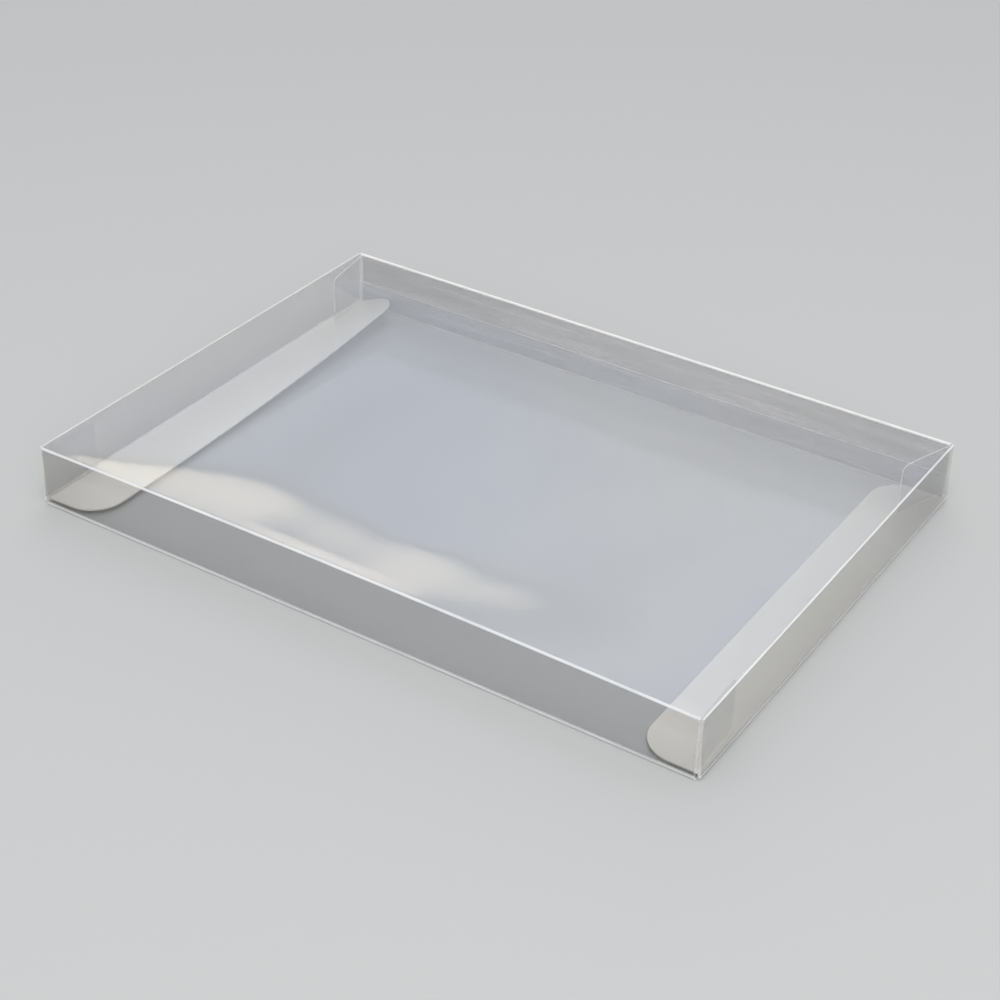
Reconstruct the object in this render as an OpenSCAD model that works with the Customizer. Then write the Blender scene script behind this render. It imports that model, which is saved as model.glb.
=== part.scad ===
// Clear film box that slips over a flat game case. It is one die-cut sheet, creased and
// folded into a low tube whose seam is glued inside the back wall. Each end closes with an
// end flap, hinged on the top panel, whose tongue tucks in over the bottom panel. Length
// runs along X, depth along Y, and the box stands on Z = 0.

/* [Box] */
// Outside length, over the lower folds of the two closed end flaps
box_length = 192; // [120:1:300]
// Outside depth, from front wall to back wall
box_depth = 137; // [90:1:220]
// Outside height
box_height = 17; // [14:0.5:60]
// Thickness of the film
film = 0.4; // [0.25:0.05:0.6]

/* [Creases and play] */
// Gap along a hinge crease, between its round bead and the sheet on the other side
crease_gap = 0.08; // [0.05:0.01:0.15]
// Play between layers of film that lie or slide on each other
layer_gap = 0.25; // [0.15:0.05:0.5]

/* [Back seam] */
// Height of the glue flap, which stands inside the back wall
glue_flap_height = 7.5; // [5:0.5:12]
// How far the glue flap's foot stops short of the back wall's ends
glue_flap_setback = 1.5; // [1:0.5:8]
// How much further its upper edge stops short at each end
glue_flap_taper = 2.5; // [0:0.5:10]

/* [End flaps] */
// Angle by which a closed end flap leans out towards its lower fold, in degrees
flap_lean = 2; // [0:0.5:5]
// How far an end flap's sides stand back from the faces of the front and back walls
flap_side_gap = 0.5; // [0.3:0.1:1.5]
// How far the bottom panel's cut ends stand back from the end flaps' lower folds
bottom_setback = 1; // [0.6:0.1:3]

/* [Tongues] */
// Depth of a tongue, from its fold to its free edge
tongue_depth = 17.5; // [10:0.5:30]
// Radius of the two corners of a tongue's free edge
tongue_corner = 9; // [2:0.5:9.5]
// Play between a tongue's sides and the walls it slides in between
tongue_side_play = 0.7; // [0.3:0.1:3]

/* [Dust flaps] */
// Length of a dust flap, from its crease to its free edge
dust_length = 18; // [8:0.5:30]
// Rise of a dust flap's lower edge, from its crease to its free edge
dust_taper = 5; // [0:0.5:8]
// Radius of the two corners of a dust flap's free edge
dust_corner = 2; // [0.5:0.5:2.5]
// Height of a dust flap's lower edge over the tongue, at its crease
dust_foot = 0.8; // [0.3:0.1:2]
// Angle by which the front dust flaps stand in from the end flaps, in degrees
dust_tilt_front = 2; // [0:1:40]
// The same angle for the back dust flap at the left end
dust_tilt_back_left = 9; // [0:1:40]
// The same angle for the back dust flap at the right end
dust_tilt_back_right = 19; // [0:1:40]

/* [Hidden] */
$fn = 32;

// Mid-planes of the panels
wall_y = box_depth / 2 - film / 2;
seam_y = wall_y - film;
bottom_z = film / 2;
top_z = box_height - film / 2;
tongue_z = 1.5 * film + layer_gap;

// Places along the length: an end flap's lower fold and its hinge, the top panel's ends,
// the creases of the dust flaps and the bottom panel's ends
fold_x = box_length / 2 - film / 2;
hinge_x = fold_x - (top_z - tongue_z) * tan(flap_lean);
top_end_x = hinge_x - film / 2 - crease_gap;
dust_x = hinge_x - film - layer_gap;
bottom_end_x = box_length / 2 - bottom_setback;

// Widths of the end flaps and tongues
flap_width = box_depth - 2 * flap_side_gap;
tongue_width = box_depth - 2 * (max(flap_side_gap, 2 * film) + tongue_side_play);

// Height of a dust flap's lower edge at its crease, and of its upper edge
dust_low_z = tongue_z + film / 2 + dust_foot;
dust_high_z = box_height - film - layer_gap;

film_color = [0.80, 0.84, 0.88, 0.5];
tongue_color = [0.88, 0.89, 0.86, 0.6];

// Edge view of a strip of film that runs through the given points, with square cut ends
// and a round bead at each fold between them
module folded_strip(points) {
    for (i = [1 : len(points) - 1]) {
        run = points[i] - points[i - 1];
        translate(points[i - 1]) rotate(atan2(run.y, run.x))
            translate([0, -film / 2]) square([norm(run), film]);
    }
    if (len(points) > 2)
        for (i = [1 : len(points) - 2]) bead(points[i]);
}

// Edge view of one fold
module bead(point) {
    translate(point) circle(d = film);
}

// Flat sheet from the Y axis to the right, with its two far corners rounded. Its lower edge
// may rise towards them.
module rounded_sheet(length, low, high, corner, slope = 0) {
    corner_low = low + (length - corner) * tan(slope) + corner / cos(slope);
    difference() {
        polygon([[0, low], [length, low + length * tan(slope)], [length, high], [0, high]]);
        translate([length - corner, high - corner]) corner_waste(corner, 90);
        translate([length - corner, corner_low]) mirror([0, 1]) corner_waste(corner, 90 - slope);
    }
}

// What rounding takes off a corner, from the centre of its arc, over the angle of the turn
module corner_waste(corner, turn) {
    reach = 3 * corner;
    difference() {
        polygon([[0, 0], [reach, 0], [reach, reach], [reach * cos(turn), reach * sin(turn)]]);
        circle(r = corner);
    }
}

// The glued tube's cross-section, from the glue flap's upper edge round to the foot of the
// back wall
module tube_section() {
    folded_strip([
        [seam_y, glue_flap_height],
        [seam_y, bottom_z],
        [-wall_y, bottom_z],
        [-wall_y, top_z],
        [wall_y, top_z],
        [wall_y, 0]
    ]);
}

// What is cut off the tube's right end: the walls back to the dust flaps' creases, the top
// panel back to its hinge, and the glue flap back to its slanting end
module end_cut() {
    foot_x = dust_x - glue_flap_setback;
    under_top_z = box_height - film;
    translate([dust_x, -box_depth, film])
        cube([box_length, 2 * box_depth, under_top_z - film]);
    translate([top_end_x, -box_depth, film])
        cube([box_length, 2 * box_depth, box_height]);
    translate([0, seam_y + film / 2, 0]) rotate([90, 0, 0]) linear_extrude(2 * film)
        polygon([
            [foot_x, film],
            [foot_x - glue_flap_taper, glue_flap_height],
            [foot_x - glue_flap_taper, under_top_z],
            [box_length, under_top_z],
            [box_length, film]
        ]);
}

// The dust flap at the front right corner, with the bead of its crease
module dust_flap(tilt) {
    slope = atan(dust_taper / dust_length);
    translate([dust_x, -wall_y, 0]) {
        translate([0, 0, dust_low_z]) cylinder(h = dust_high_z - dust_low_z, d = film);
        rotate(90 + tilt) rotate([90, 0, 0]) linear_extrude(film, center = true)
            rounded_sheet(dust_length, dust_low_z, dust_high_z, dust_corner, slope);
    }
}

module sleeve() {
    color(film_color) {
        difference() {
            rotate([90, 0, 90]) linear_extrude(2 * bottom_end_x, center = true) tube_section();
            end_cut();
            mirror([1, 0, 0]) end_cut();
        }
        dust_flap(dust_tilt_front);
        mirror([1, 0, 0]) dust_flap(dust_tilt_front);
        mirror([0, 1, 0]) dust_flap(dust_tilt_back_right);
        mirror([1, 0, 0]) mirror([0, 1, 0]) dust_flap(dust_tilt_back_left);
    }
}

// The end panel at the right end, from its hinge bead to the bead of its lower fold
module end_flap() {
    hinge = [hinge_x, top_z];
    fold = [fold_x, tongue_z];
    color(film_color) rotate([90, 0, 0]) linear_extrude(flap_width, center = true) {
        folded_strip([hinge, fold]);
        bead(hinge);
        bead(fold);
    }
}

// The tongue at the right end, flat over the bottom panel
module tongue() {
    root_x = fold_x - film / 2 - crease_gap;
    color(tongue_color) translate([root_x, 0, tongue_z - film / 2]) mirror([1, 0, 0])
        linear_extrude(film) rounded_sheet(root_x - fold_x + tongue_depth,
            -tongue_width / 2, tongue_width / 2, tongue_corner);
}

module right_end_flap() end_flap();
module left_end_flap() mirror([1, 0, 0]) end_flap();
module right_tongue() tongue();
module left_tongue() mirror([1, 0, 0]) tongue();

sleeve();
left_end_flap();
left_tongue();
right_end_flap();
right_tongue();
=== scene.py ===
# A clear film box that slips over a flat game case, seen standing empty on a pale table. It is
# one die-cut sheet of thin clear plastic, creased and folded into a low tube, and closed at each
# end by a flap whose tongue is tucked in. All sizes are in metres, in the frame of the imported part.
import math

import bmesh
import bpy
from mathutils import Matrix, Vector


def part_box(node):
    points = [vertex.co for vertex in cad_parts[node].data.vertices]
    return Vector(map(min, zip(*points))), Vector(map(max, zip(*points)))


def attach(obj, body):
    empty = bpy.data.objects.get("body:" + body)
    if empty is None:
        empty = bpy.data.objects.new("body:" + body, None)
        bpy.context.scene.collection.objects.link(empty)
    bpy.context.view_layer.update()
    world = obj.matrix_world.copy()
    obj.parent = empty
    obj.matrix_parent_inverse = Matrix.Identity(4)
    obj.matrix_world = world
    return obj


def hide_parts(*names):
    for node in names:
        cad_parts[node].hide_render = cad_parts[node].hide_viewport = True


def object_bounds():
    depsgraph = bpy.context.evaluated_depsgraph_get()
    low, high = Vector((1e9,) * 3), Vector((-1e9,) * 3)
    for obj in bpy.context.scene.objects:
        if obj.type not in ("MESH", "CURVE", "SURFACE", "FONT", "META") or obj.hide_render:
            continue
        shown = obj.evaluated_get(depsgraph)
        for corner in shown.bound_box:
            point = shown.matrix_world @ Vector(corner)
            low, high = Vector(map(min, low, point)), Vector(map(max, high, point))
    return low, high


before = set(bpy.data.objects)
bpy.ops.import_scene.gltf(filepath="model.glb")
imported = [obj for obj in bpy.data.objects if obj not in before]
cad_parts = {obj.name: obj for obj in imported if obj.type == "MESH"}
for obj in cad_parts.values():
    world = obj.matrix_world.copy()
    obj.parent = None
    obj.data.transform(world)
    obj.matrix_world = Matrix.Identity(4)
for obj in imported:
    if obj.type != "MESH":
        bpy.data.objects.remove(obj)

cad_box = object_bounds()


# Clear film. The sheet is glossy thin plastic that lets nearly all light through, mirrors more
# of the room the flatter it is looked at, and carries a faint milkiness with handling marks.
# The same plastic turns white where a crease stretches it, and pale where the die cut it.
# The upright walls let less light through than the top, a painted shade, the back wall least,
# and the back wall's pale streaks are a painted reflection.
def link_math(nodes, links, operation, first, second, third=None):
    """A Math node of that operation, fed by sockets or plain numbers."""
    step = nodes.new("ShaderNodeMath")
    step.operation = operation
    for socket, value in zip(step.inputs, (first, second, third)):
        if isinstance(value, (int, float)):
            socket.default_value = value
        elif value is not None:
            links.new(value, socket)
    return step.outputs["Value"]


def noise_pattern(nodes, links, place, stretch, turn, scale, detail, low, high, to_low, to_high):
    """Noise in the given space, stretched and turned, with low to high spread to a new range."""
    mapping = nodes.new("ShaderNodeMapping")
    mapping.inputs["Scale"].default_value = stretch
    mapping.inputs["Rotation"].default_value = turn
    links.new(place, mapping.inputs["Vector"])
    noise = nodes.new("ShaderNodeTexNoise")
    noise.inputs["Scale"].default_value = scale
    noise.inputs["Detail"].default_value = detail
    links.new(mapping.outputs["Vector"], noise.inputs["Vector"])
    spread = nodes.new("ShaderNodeMapRange")
    spread.inputs["From Min"].default_value = low
    spread.inputs["From Max"].default_value = high
    spread.inputs["To Min"].default_value = to_low
    spread.inputs["To Max"].default_value = to_high
    links.new(noise.outputs["Fac"], spread.inputs["Value"])
    return spread.outputs["Result"]


def film_finish(name, milk_color, milk_low, milk_high, milk_scale, milk_stretch, through, roughness,
                passed):
    """A see-through finish: a mirror share that grows towards a grazing view, a milky share that
    varies between the two amounts and lets part of its light through, and clear film between."""
    finish = bpy.data.materials.new(name)
    finish.use_nodes = True
    nodes, links = finish.node_tree.nodes, finish.node_tree.links
    nodes.clear()
    place = nodes.new("ShaderNodeTexCoord").outputs["Object"]

    ripple = noise_pattern(nodes, links, place, (1, 1, 1), (0, 0, 0.5), 26, 2, 0, 1, 0, 1)
    bump = nodes.new("ShaderNodeBump")
    bump.inputs["Strength"].default_value = 0.25
    bump.inputs["Distance"].default_value = 0.0006
    links.new(ripple, bump.inputs["Height"])

    graze = nodes.new("ShaderNodeLayerWeight")
    graze.inputs["Blend"].default_value = 0.5
    links.new(bump.outputs["Normal"], graze.inputs["Normal"])
    steep = link_math(nodes, links, "POWER", graze.outputs["Facing"], 5)
    mirror_share = link_math(nodes, links, "MULTIPLY_ADD", steep, 0.95, 0.05)

    # Only the fine streaks of the back wall, a painted reflection, need more detail
    detail = 4 if name == "back_film_shade_and_sheen" else 2
    milk = noise_pattern(nodes, links, place, milk_stretch, (0, 0, 0), milk_scale, detail,
                         0.35, 0.65, milk_low, milk_high)
    if name == "clear_film":
        # A few specks of dust, on the top panel only
        speck_size, dusty_above_z = 0.005, 0.0165
        specks = nodes.new("ShaderNodeTexVoronoi")
        specks.voronoi_dimensions = "2D"
        specks.inputs["Scale"].default_value = 20
        links.new(place, specks.inputs["Vector"])
        dust = link_math(nodes, links, "LESS_THAN", specks.outputs["Distance"], speck_size)
        height = nodes.new("ShaderNodeSeparateXYZ")
        links.new(place, height.inputs["Vector"])
        on_top = link_math(nodes, links, "GREATER_THAN", height.outputs["Z"], dusty_above_z)
        dust = link_math(nodes, links, "MULTIPLY", dust, on_top)
        milk = link_math(nodes, links, "MULTIPLY_ADD", dust, 0.3, milk)
    if name == "tongue_film":
        # The tongue is milkier towards the front, and most of all over its round front end
        round_end_from_y, round_end_to_y = -0.044, -0.057
        depth = nodes.new("ShaderNodeSeparateXYZ")
        links.new(place, depth.inputs["Vector"])
        milk = link_math(nodes, links, "MULTIPLY_ADD", depth.outputs["Y"], -2.0, milk)
        front = nodes.new("ShaderNodeMapRange")
        front.inputs["From Min"].default_value = round_end_from_y
        front.inputs["From Max"].default_value = round_end_to_y
        front.inputs["To Max"].default_value = 0.28
        links.new(depth.outputs["Y"], front.inputs["Value"])
        milk = link_math(nodes, links, "ADD", front.outputs["Result"], milk)

    clear = nodes.new("ShaderNodeBsdfTransparent")
    clear.inputs["Color"].default_value = (*passed, 1)
    milky = nodes.new("ShaderNodeBsdfPrincipled")
    milky.inputs["Base Color"].default_value = (*milk_color, 1)
    milky.inputs["Roughness"].default_value = 0.5
    milky.inputs["Specular IOR Level"].default_value = 0.2
    lit_through = nodes.new("ShaderNodeBsdfTranslucent")
    lit_through.inputs["Color"].default_value = (*milk_color, 1)
    glow = nodes.new("ShaderNodeMixShader")
    glow.inputs["Fac"].default_value = through
    links.new(milky.outputs["BSDF"], glow.inputs[1])
    links.new(lit_through.outputs["BSDF"], glow.inputs[2])
    mirror = nodes.new("ShaderNodeBsdfGlossy")
    mirror.inputs["Color"].default_value = (1, 1, 1, 1)
    mirror.inputs["Roughness"].default_value = roughness
    links.new(bump.outputs["Normal"], mirror.inputs["Normal"])

    body = nodes.new("ShaderNodeMixShader")
    links.new(milk, body.inputs["Fac"])
    links.new(clear.outputs["BSDF"], body.inputs[1])
    links.new(glow.outputs["Shader"], body.inputs[2])
    gloss = nodes.new("ShaderNodeMixShader")
    links.new(mirror_share, gloss.inputs["Fac"])
    links.new(body.outputs["Shader"], gloss.inputs[1])
    links.new(mirror.outputs["BSDF"], gloss.inputs[2])
    out = nodes.new("ShaderNodeOutputMaterial")
    links.new(gloss.outputs["Shader"], out.inputs["Surface"])
    return finish


even, sheen_streaks, wide_streaks = (1, 1, 1), (0.08, 1, 1), (0.2, 1, 2)
clear_film = film_finish("clear_film", (0.90, 0.93, 0.975), 0.012, 0.04, 16, even, 0.3, 0.085,
                         (0.952, 0.957, 0.963))
base_film = film_finish("base_film", (0.90, 0.93, 0.975), 0.012, 0.04, 16, even, 0.3, 0.145,
                        (0.952, 0.957, 0.963))
# The upright walls and end panels let less light through than the top: a painted shade
shaded_wall_film = film_finish("shaded_wall_film", (0.93, 0.92, 0.90), 0.01, 0.035, 60, wide_streaks, 0.3,
                        0.085, (0.870, 0.864, 0.852))
# The back wall lets through less light still, a painted shade, and its milk runs in fine pale
# streaks, a painted reflection of its ridges
back_film_shade_and_sheen = film_finish("back_film_shade_and_sheen", (0.93, 0.91, 0.91), 0.0, 0.27, 400, sheen_streaks, 0.5, 0.105,
                        (0.70, 0.695, 0.69))
glued_film = film_finish("glued_film", (0.82, 0.88, 0.98), 0.11, 0.18, 90, wide_streaks, 0.3,
                         0.125, (0.95, 0.955, 0.965))
tongue_film = film_finish("tongue_film", (1.0, 0.985, 0.94), 0.50, 0.54, 30, even, 0.12, 0.425,
                          (0.965, 0.963, 0.955))
creased_film = film_finish("creased_film", (1.0, 1.0, 1.0), 0.75, 0.95, 90, even, 0.2, 0.275,
                           (0.97, 0.97, 0.97))
soft_crease = film_finish("soft_crease", (0.98, 0.96, 0.92), 0.25, 0.45, 90, even, 0.4, 0.225,
                          (0.95, 0.95, 0.94))
cut_edge = film_finish("cut_edge", (1.0, 0.97, 0.96), 0.5, 0.75, 120, even, 0.4, 0.325,
                       (0.93, 0.93, 0.92))
tongue_edge = film_finish("tongue_edge", (1.0, 0.99, 0.95), 0.75, 0.95, 120, even, 0.2, 0.325,
                          (0.95, 0.95, 0.94))


# Tube. The sleeve is one sheet folded round four long creases. Its front wall, top, back wall
# and bottom are flat panels, and a glue flap stands inside the back wall, where the seam is
# bonded. Four dust flaps are creased in from the ends of the walls.
film = 0.0004
# The strip beside the back top fold is wider: the crease's own whitening and a painted highlight
crease, whitened, back_whitened_and_highlight = 0.0003, 0.00065, 0.00095
cell, row, fine_row = 0.004, 0.0015, 0.00075
sleeve_low, sleeve_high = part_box("sleeve")
front_y, back_y = sleeve_low.y + film / 2, sleeve_high.y - film / 2
seam_y = back_y - film - 0.00005
bottom_z, top_z = film / 2, sleeve_high.z - film / 2
wall_x, top_x, bottom_x = 0.094593, 0.094963, sleeve_high.x
glue_top_z = 0.0075
dust_low_z, dust_high_z = 0.00185, 0.01635
dust_length, dust_taper, dust_corner = 0.018, 0.005, 0.0022


def pick(mode, wanted):
    """Deselects all, then selects the vertices, edges or faces whose middle is wanted."""
    bpy.ops.mesh.select_mode(type=mode)
    bpy.ops.mesh.select_all(action="DESELECT")
    sheet = bpy.context.edit_object.data
    shape = bmesh.from_edit_mesh(sheet)
    if mode == "VERT":
        for vertex in shape.verts:
            vertex.select_set(bool(wanted(vertex.co)))
    else:
        for part in shape.edges if mode == "EDGE" else shape.faces:
            middle = sum((v.co for v in part.verts), Vector()) / len(part.verts)
            if wanted(middle):
                part.select_set(True)
    shape.select_flush_mode()
    bmesh.update_edit_mesh(sheet)


def near(value, target, reach=0.00002):
    """Whether a value lies at the target, to within the reach."""
    return abs(value - target) < reach


def extrude(move):
    """Extrudes what is selected by that step and leaves the new end selected."""
    bpy.ops.mesh.extrude_region_move(TRANSFORM_OT_translate={"value": move})


def cut(place, normal, **sides):
    """Cuts the selected faces along a plane."""
    bpy.ops.mesh.bisect(plane_co=place, plane_no=normal, **sides)


def cut_all(places, normal):
    """Cuts the whole sheet along parallel planes, for a mesh fine enough to ripple."""
    for place in places:
        bpy.ops.mesh.select_all(action="SELECT")
        cut([place * n for n in normal], normal)


def start_sheet(name, low, high, level, finishes, edge_finishes):
    """A flat rectangle at a level, left open in edit mode, with a finish for each kind of face
    and one for the cut edge of each."""
    bpy.ops.object.select_all(action="DESELECT")
    bpy.ops.mesh.primitive_plane_add(size=1)
    sheet = bpy.context.active_object
    sheet.name = sheet.data.name = name
    for finish in finishes + edge_finishes:
        sheet.data.materials.append(finish)
    bpy.ops.object.mode_set(mode="EDIT")
    bpy.ops.transform.resize(value=(high[0] - low[0], high[1] - low[1], 1))
    bpy.ops.transform.translate(
        value=((low[0] + high[0]) / 2, (low[1] + high[1]) / 2, level))
    return sheet


def press_in(sheet, depth, loose, wave_size=0, way="NORMAL"):
    """Presses the panels in by up to that depth where they are loose, in soft waves if asked,
    each along its own normal or all of them one way."""
    group = sheet.vertex_groups.new(name="loose")
    for vertex in sheet.data.vertices:
        group.add([vertex.index], loose(vertex.co), "REPLACE")
    press = sheet.modifiers.new("press", "DISPLACE")
    press.vertex_group, press.direction = group.name, way
    press.mid_level, press.strength = 1, depth
    if wave_size:
        waves = bpy.data.textures.new(sheet.name + "_waves", type="CLOUDS")
        waves.noise_scale, waves.noise_depth = wave_size, 1
        press.texture, press.texture_coords = waves, "LOCAL"
    else:
        press.mid_level = 2
    bpy.ops.object.modifier_apply(modifier=press.name)
    sheet.vertex_groups.clear()


def thicken(sheet):
    """Gives the creased sheet its thickness, with pale edges where it was cut. A spike that
    thickening leaves where a crease ends is pressed back to the sheet's face."""
    wall = sheet.modifiers.new("film", "SOLIDIFY")
    wall.thickness, wall.offset, wall.use_even_offset = film, 0, True
    wall.material_offset_rim = len(sheet.data.materials) // 2
    bpy.ops.object.modifier_apply(modifier=wall.name)
    for vertex in sheet.data.vertices:
        vertex.co = [max(low, min(high, value))
                     for value, low, high in zip(vertex.co, *cad_box)]
    bpy.ops.object.shade_smooth_by_angle(angle=math.radians(35))


tube = start_sheet("film_tube", (-wall_x, front_y), (wall_x, seam_y), bottom_z,
                   [clear_film, creased_film, shaded_wall_film, back_film_shade_and_sheen, glued_film, soft_crease,
                    clear_film, base_film],
                   [cut_edge, creased_film, cut_edge, cut_edge, cut_edge, soft_crease,
                    clear_film, cut_edge])
in_clear, in_creased, in_wall, in_back, in_glued, in_soft, in_dust_flap, in_base = range(8)
pick("EDGE", lambda p: near(p.y, front_y))
extrude((0, 0, top_z - bottom_z))
extrude((0, back_y - front_y, 0))
extrude((0, 0, -top_z))
pick("EDGE", lambda p: near(p.y, seam_y))
extrude((0, 0, glue_top_z - bottom_z))

# A mesh fine enough to ripple, finer where the top dips and where the back wall is streaked
cut_all([n * cell for n in range(-23, 24)], (1, 0, 0))
cut_all([n * cell for n in range(-13, 17)], (0, 1, 0))
cut_all([-0.0675 + n * fine_row for n in range(12)], (0, 1, 0))
cut_all([-0.0585 + n * row for n in range(5)] + [-0.050, -0.046], (0, 1, 0))
cut_all([bottom_z + whitened, dust_low_z, 0.0045], (0, 0, 1))
cut_all([0.0078 + n * 0.001 for n in range(8)] + [dust_high_z], (0, 0, 1))
pick("FACE", lambda p: near(p.z, top_z))
cut((0, back_y - back_whitened_and_highlight, top_z), (0, 1, 0))

for end in (-1, 1):
    # The glue flap stops short of the tube's end, more so at its upper edge
    pick("FACE", lambda p: near(p.y, seam_y) and p.z > bottom_z + 0.00001)
    cut((end * (wall_x - 0.0015), seam_y, bottom_z), (end * 0.0075, 0, 0.0025), clear_outer=True)
    # The top and bottom panels run on a little past the creases of the dust flaps
    pick("EDGE", lambda p: near(p.x, end * wall_x) and near(p.z, bottom_z))
    extrude((end * (bottom_x - wall_x), 0, 0))
    pick("EDGE", lambda p: near(p.x, end * wall_x) and near(p.z, top_z))
    extrude((end * (top_x - wall_x), 0, 0))

# Dust flaps, each with its own lean into the box, bowed a little by the spring of its crease
for end, side_y, lean in ((1, front_y, 2), (-1, front_y, 2), (1, back_y, 19), (-1, back_y, 9)):
    inward = -math.copysign(1, side_y)
    pick("EDGE", lambda p: near(p.x, end * wall_x) and near(p.y, side_y)
         and dust_low_z < p.z < dust_high_z)
    for turn in (1.12, 1.04, 0.96, 0.88):
        angle = math.radians(lean * turn)
        extrude((-end * math.sin(angle) * dust_length / 4,
                 inward * math.cos(angle) * dust_length / 4, 0))
    pick("FACE", lambda p: abs(p.x) > wall_x - 0.0062 and p.x * end > 0
         and p.y * inward > side_y * inward + 0.00001 and bottom_z + 0.001 < p.z < top_z - 0.0001
         and abs(p.y - side_y) < dust_length + 0.0005 and not near(p.y, seam_y))
    cut((end * wall_x, side_y, dust_low_z), (0, -inward * dust_taper, dust_length),
        clear_inner=True)
    tip = Vector((end * (wall_x - dust_length * math.sin(math.radians(lean))),
                  side_y + inward * dust_length * math.cos(math.radians(lean)), 0))
    pick("VERT", lambda p: (Vector((p.x, p.y, 0)) - tip).length < 0.0006
         and (near(p.z, dust_high_z) or near(p.z, dust_low_z + dust_taper, 0.0002)))
    bpy.ops.mesh.bevel(offset=dust_corner, segments=6, affect="VERTICES")

bpy.ops.mesh.select_all(action="SELECT")
bpy.ops.mesh.remove_doubles(threshold=0.000005)
bpy.ops.mesh.normals_make_consistent(inside=False)
pick("EDGE", lambda p: abs(p.x) < wall_x and (
    (near(abs(p.y), back_y) and near(p.z, top_z)) or (near(p.y, front_y) and near(p.z, bottom_z))
    or (near(p.y, seam_y) and near(p.z, bottom_z))))
bpy.ops.mesh.bevel(offset=crease, segments=3, material=in_creased)
pick("EDGE", lambda p: near(abs(p.x), wall_x) and near(abs(p.y), back_y)
     and dust_low_z < p.z < dust_high_z)
bpy.ops.mesh.bevel(offset=crease / 2, segments=3, material=in_soft)
bpy.ops.object.mode_set(mode="OBJECT")

# Each panel takes its own finish, the walls their darker films, a painted shade, and a whitened strip
# runs beside the folds that face the light. Beside the back top fold the strip is wider and only its
# faces turned up to the light stay white: the crease's own whitening with a painted highlight.
for face in tube.data.polygons:
    place, beyond = face.center, abs(face.center.x) > wall_x - 0.007
    if beyond and place.y < 0 and dust_low_z < place.z < dust_high_z \
            and not near(place.y, front_y, 0.0004):
        face.material_index = in_dust_flap
    elif face.material_index == in_creased and place.y > 0:
        if place.z < glue_top_z:
            face.material_index = in_soft
        # Faces of the back top fold turned away from the light are left clear, so it is white only
        # where light falls: a painted highlight
        elif face.normal.z <= 0.6:
            face.material_index = in_clear
    elif face.material_index == in_clear and abs(place.x) < wall_x:
        if near(place.y, front_y, 0.0001):
            face.material_index = in_creased if place.z < bottom_z + whitened else in_wall
        elif near(place.y, back_y, 0.0001):
            face.material_index = in_back
        elif near(place.y, seam_y) and place.z > bottom_z + crease:
            face.material_index = in_glued
        elif near(place.z, top_z) and place.y > back_y - back_whitened_and_highlight:
            face.material_index = in_creased
        elif near(place.z, bottom_z):
            face.material_index = in_base


def ramp(value, start, stop):
    """Eases from 0 at start to 1 at stop."""
    share = max(0, min(1, (value - start) / (stop - start)))
    return share * share * (3 - 2 * share)


def loose_panel(p):
    """How free a point of the tube is to ripple: none at a crease, all in a panel's middle."""
    from_end = ramp(abs(p.x), wall_x, wall_x - 0.02)
    if near(p.z, top_z, 0.0001):
        return from_end * ramp(abs(p.y), back_y, back_y - 0.025)
    if near(p.y, front_y, 0.0001) or near(p.y, back_y, 0.0001):
        return 0.4 * from_end * ramp(min(top_z - p.z, p.z), 0, 0.006)
    return 0


def front_sag(p):
    """The top dips behind the front fold, more widely towards the middle than at the left end,
    and a little deeper over one short stretch of its length."""
    if not near(p.z, top_z, 0.001):
        return 0
    reach = 0.005 + 0.024 * ramp(p.x, -0.090, -0.045)
    along = reach / 0.029 * ramp(p.x, -0.095, -0.086) * ramp(p.x, 0.080, 0.030)
    along *= 0.96 + 0.04 * math.sin(p.x / 0.009)
    across = max(0, min(1, (p.y - front_y) / reach))
    pinch = ramp(p.x, -0.034, -0.014) * ramp(p.x, 0.022, 0.002) * ramp(p.y, front_y, -0.0638)
    sag = along * across * (1.2 - 0.2 * across ** 5) + 0.13 * pinch
    return sag * ramp(p.y, 0.062, front_y + reach)


def front_bow(p):
    """The sag draws the front fold in, most at the middle of its length."""
    held = 1 - (p.x / top_x) ** 2
    if near(p.z, top_z, 0.003) and p.y > front_y + 0.0005:
        return held * ramp(p.y, front_y + 0.04, front_y)
    return held * p.z / top_z if near(p.y, front_y, 0.0005) and p.z > bottom_z else 0


def back_pull(p):
    """Along the seam the back wall is drawn into long shallow ridges over the glue flap."""
    if not near(p.y, back_y, 0.001):
        return 0
    held = ramp(p.z, glue_top_z, glue_top_z + 0.002) * ramp(p.z, top_z, top_z - 0.002)
    return held * ramp(abs(p.x), wall_x, wall_x - 0.01) * (
        0.5 + 0.5 * math.sin(p.z / 0.00065 + p.x / 0.024))


press_in(tube, 0.0003, loose_panel, 0.07)
press_in(tube, 0.0026, front_sag)
press_in(tube, 0.0002, back_pull)
press_in(tube, -0.0009, front_bow, way="Y")
thicken(tube)
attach(tube, "sleeve")
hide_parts("sleeve")


# Closures. Each end of the box is shut by a panel hinged on the top's crease, folded under at its
# foot into a tongue with two round corners, which lies on the bottom panel inside. The left
# tongue springs up towards the back, because its fold has opened there.
hinge_x, fold_x, tongue_x, tongue_z = 0.095243, 0.0958, 0.0783, 0.00085
panel_width, tongue_width, tongue_corner = 0.136, 0.134, 0.009
root_x = fold_x - 0.0005


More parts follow.
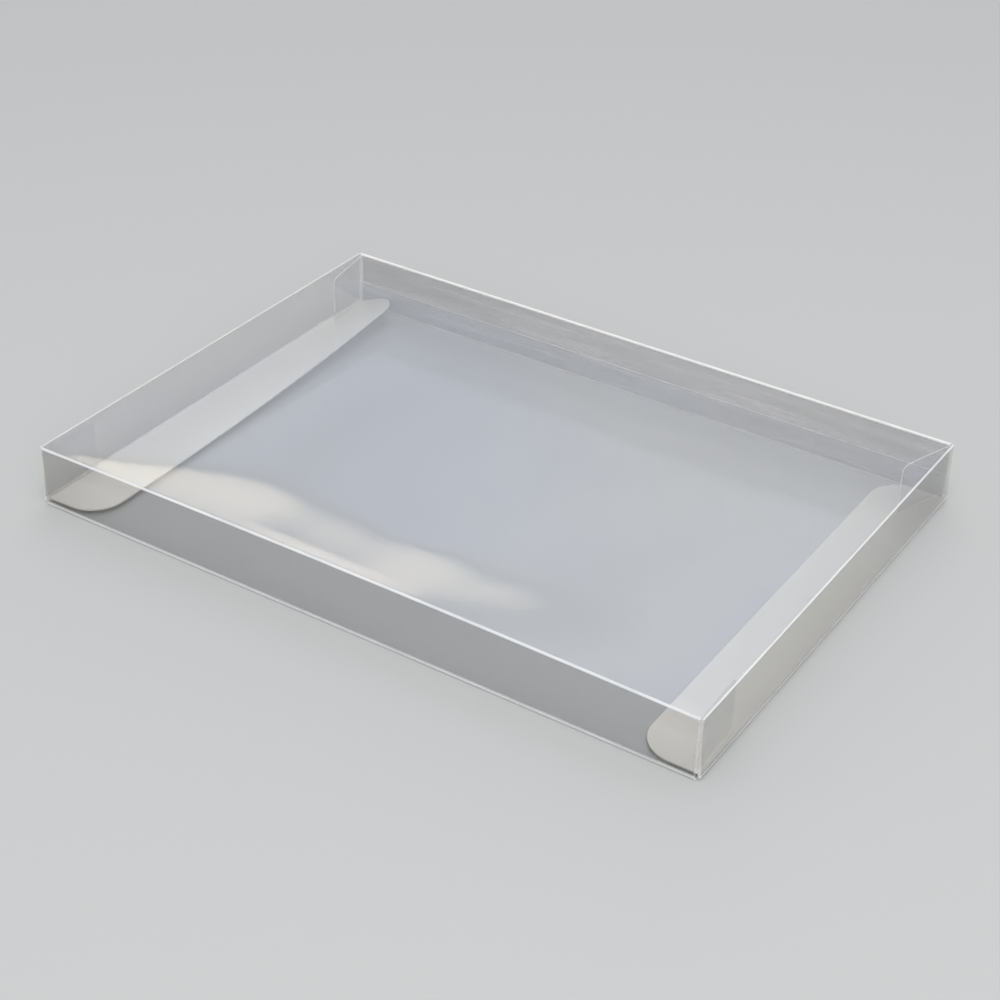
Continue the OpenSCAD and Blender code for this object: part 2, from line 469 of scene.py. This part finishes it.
def closure(name, end, node_panel, node_tongue, body, spring):
    """One end panel with its tongue, at the right end for 1 and the left end for -1."""
    # The end panel takes the darker wall film, a painted shade
    sheet = start_sheet(name, (min(end * root_x, end * fold_x), -panel_width / 2),
                        (max(end * root_x, end * fold_x), panel_width / 2), tongue_z,
                        [shaded_wall_film, creased_film, tongue_film],
                        [cut_edge, creased_film, tongue_edge])
    in_panel, in_fold, in_tongue = range(3)
    pick("EDGE", lambda p: near(p.x, end * fold_x))
    extrude((end * (hinge_x - fold_x), 0, top_z - tongue_z))
    pick("EDGE", lambda p: near(p.x, end * root_x))
    extrude((-end * 0.0006, 0, 0))
    bpy.ops.transform.resize(value=(1, tongue_width / panel_width, 1))
    extrude((end * (tongue_x - root_x + 0.0006), 0, 0))
    pick("VERT", lambda p: near(p.x, end * tongue_x))
    bpy.ops.mesh.bevel(offset=tongue_corner, segments=12, affect="VERTICES")
    cut_all([end * x for x in (0.082, 0.0855, 0.089, 0.0925)], (1, 0, 0))
    cut_all([n * cell for n in range(-16, 17)], (0, 1, 0))
    cut_all([tongue_z + whitened, 0.0045, 0.009, 0.0128, top_z - crease / 2], (0, 0, 1))
    bpy.ops.mesh.select_all(action="SELECT")
    bpy.ops.mesh.normals_make_consistent(inside=False)

    # The tongue is turned up about its fold, row by row
    if spring:
        for y in sorted({round(v.co.y, 6) for v in bmesh.from_edit_mesh(sheet.data).verts}):
            pick("VERT", lambda p: near(p.y, y) and near(p.z, tongue_z)
                 and abs(p.x) < fold_x - 0.0001)
            share = (y + tongue_width / 2) / tongue_width
            bpy.ops.transform.rotate(
                value=math.radians(1.5 + spring * max(0, share) ** 2.2), orient_axis="Y",
                center_override=(end * fold_x, y, tongue_z))
    pick("EDGE", lambda p: near(p.x, end * fold_x) and near(p.z, tongue_z))
    bpy.ops.mesh.bevel(offset=crease, segments=3, material=in_fold)
    bpy.ops.object.mode_set(mode="OBJECT")

    for face in sheet.data.polygons:
        if face.center.z > top_z - crease / 2 or (
                abs(face.center.x) > fold_x - 0.0001 and face.center.z < tongue_z + whitened):
            face.material_index = in_fold
        elif face.material_index == in_panel and abs(face.center.x) < fold_x - 0.0007:
            face.material_index = in_tongue
    press_in(sheet, 0.0003, lambda p: 0 if abs(p.x) < fold_x - 0.0008 else
             min(1, min(top_z - p.z, max(0, p.z - tongue_z)) / 0.005), 0.05)
    thicken(sheet)
    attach(sheet, body)
    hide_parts(node_panel, node_tongue)
    return sheet


right_closure = closure("right_closure", 1, "right_end_flap", "right_tongue", "right_flap", 0)
left_closure = closure("left_closure", -1, "left_end_flap", "left_tongue", "left_flap", 20)


# Table. A plain pale matt top, large enough to fill the view. The box stands on it, and a tenth
# of a millimetre is left between the two, so that their faces don't coincide.
bpy.ops.object.select_all(action="DESELECT")
bpy.ops.mesh.primitive_plane_add(size=6, location=(0, 0, -0.0001))
table = bpy.context.active_object
table.name = "table"
bpy.ops.object.transform_apply(location=True, rotation=False, scale=False)
matt = bpy.data.materials.new("pale_table")
matt.use_nodes = True
shell = matt.node_tree.nodes["Principled BSDF"]
shell.inputs["Base Color"].default_value = (0.58, 0.58, 0.575, 1)
shell.inputs["Roughness"].default_value = 0.9
shell.inputs["Specular IOR Level"].default_value = 0.1
table.data.materials.append(matt)


# Light. A soft pale room that is brightest high behind the box, with a warm card low behind to
# the left, which the dip of the top panel mirrors. One large soft lamp hangs overhead and a
# weaker one at the front right, and the film doesn't mirror them.
room = bpy.data.worlds.new("room")
bpy.context.scene.world = room
room.use_nodes = True
nodes, links = room.node_tree.nodes, room.node_tree.links
way = nodes.new("ShaderNodeTexCoord").outputs["Generated"]


def glow_toward(direction, edge, full):
    """How strongly the room glows around a direction, from none at the edge to all inside."""
    toward = nodes.new("ShaderNodeVectorMath")
    toward.operation = "DOT_PRODUCT"
    toward.inputs[1].default_value = direction
    links.new(way, toward.inputs[0])
    glow = nodes.new("ShaderNodeMapRange")
    glow.interpolation_type = "SMOOTHSTEP"
    glow.inputs["From Min"].default_value = edge
    glow.inputs["From Max"].default_value = full
    links.new(toward.outputs["Value"], glow.inputs["Value"])
    return glow.outputs["Result"]


def blend(share, first, second):
    """Blends two colours of the room, each given as a value or as the output of a node."""
    tone = nodes.new("ShaderNodeMix")
    tone.data_type = "RGBA"
    links.new(share, tone.inputs["Factor"])
    for value, socket in ((first, tone.inputs["A"]), (second, tone.inputs["B"])):
        if isinstance(value, tuple):
            socket.default_value = (*value, 1)
        else:
            links.new(value, socket)
    return tone.outputs["Result"]


clouds = noise_pattern(nodes, links, way, (1, 1, 1), (0, 0, 0), 5, 2, 0.4, 0.6, 0, 1)
window = blend(clouds, (1.22, 1.27, 1.48), (1.46, 1.44, 1.41))
walls = blend(glow_toward((-0.26, 0.60, 0.757), 0.875, 0.985), (0.54, 0.56, 0.59), window)
low = glow_toward((0, 0, -1), -0.438, -0.39)
card = link_math(nodes, links, "MULTIPLY", low, glow_toward((-0.48, 0.84, 0.25), 0.93, 0.965))
links.new(blend(card, walls, (2.2, 2.02, 1.74)), nodes["Background"].inputs["Color"])


def lamp(name, place, target, width, height, watts, color):
    """A large soft lamp turned to a target, unseen by the camera and by mirrors."""
    light = bpy.data.lights.new(name, "AREA")
    light.shape, light.size, light.size_y = "RECTANGLE", width, height
    light.energy, light.color = watts, color
    holder = bpy.data.objects.new(name, light)
    bpy.context.collection.objects.link(holder)
    holder.location = place
    holder.rotation_euler = (Vector(target) - Vector(place)).to_track_quat("-Z", "Y").to_euler()
    holder.visible_camera = holder.visible_glossy = False


lamp("overhead", (0.25, -0.35, 1.3), (0, 0, 0), 0.9, 0.9, 6.8, (1.0, 0.98, 0.95))
lamp("front_fill", (0.95, -0.95, 0.75), (0, 0, 0), 0.7, 0.7, 3.8, (1.0, 0.99, 0.97))


# Camera. It stands to the right of the front, above the box, as the photograph was taken, and
# is rolled by a degree and a half.
scene = bpy.context.scene
viewer = bpy.data.cameras.new("viewer")
viewer.lens, viewer.sensor_width = 73.66, 36
viewer.clip_start, viewer.clip_end = 0.01, 20
camera = bpy.data.objects.new("viewer", viewer)
scene.collection.objects.link(camera)
eye, aim = Vector((0.238411, -0.377664, 0.291286)), Vector((0.006611, -0.010668, 0.0085))
turned = (aim - eye).to_track_quat("-Z", "Y").to_matrix()
turned = turned @ Matrix.Rotation(math.radians(1.56), 3, "Z")
camera.location, camera.rotation_euler = eye, turned.to_euler()
scene.camera = camera
scene.view_settings.view_transform = "Standard"
scene.cycles.transparent_max_bounces = 40
